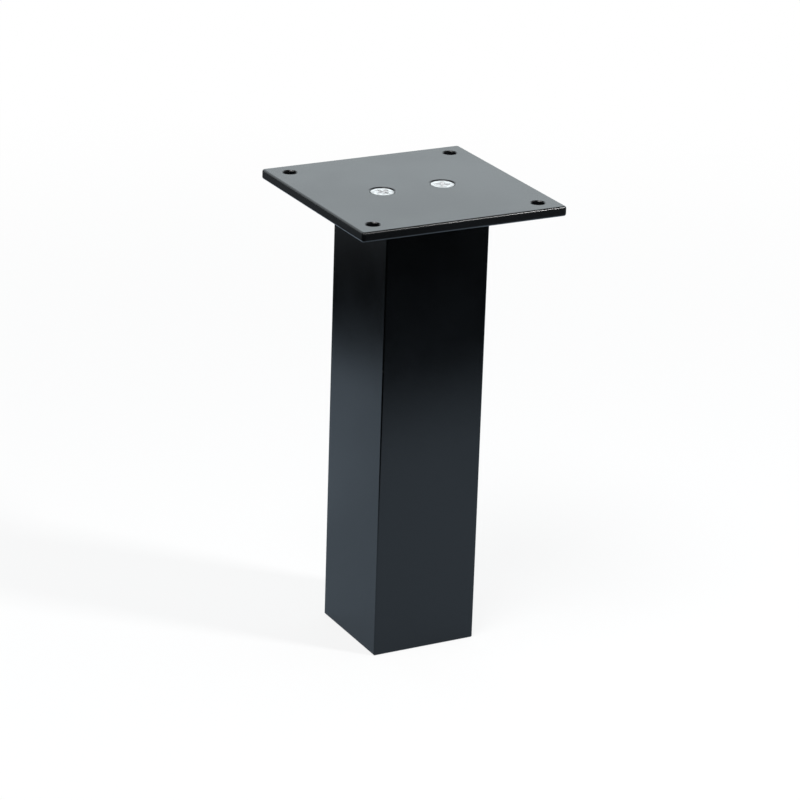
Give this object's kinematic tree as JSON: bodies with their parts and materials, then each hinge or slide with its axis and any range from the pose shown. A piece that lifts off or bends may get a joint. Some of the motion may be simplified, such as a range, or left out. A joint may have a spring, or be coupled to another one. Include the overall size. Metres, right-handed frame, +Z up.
{
  "type": "bar support bracket",
  "caption": "Square black post with a flat square top plate held on by countersunk screws; carries a raised bar top above a worktop.",
  "frame": {"origin": "centre of the post's foot, on the worktop", "axes": "+Z up the post to the top plate, +X along the line of the two plate screws"},
  "size_m": [0.1, 0.1, 0.212],
  "materials": {
    "post_black": "satin black coated extrusion",
    "plate_black": "satin black coated steel",
    "zinc": "bright zinc plating"
  },
  "bodies": {
    "root": {"post": "post_black", "top_plate": "plate_black", "plate_screws": "zinc"}
  },
  "joints": []
}
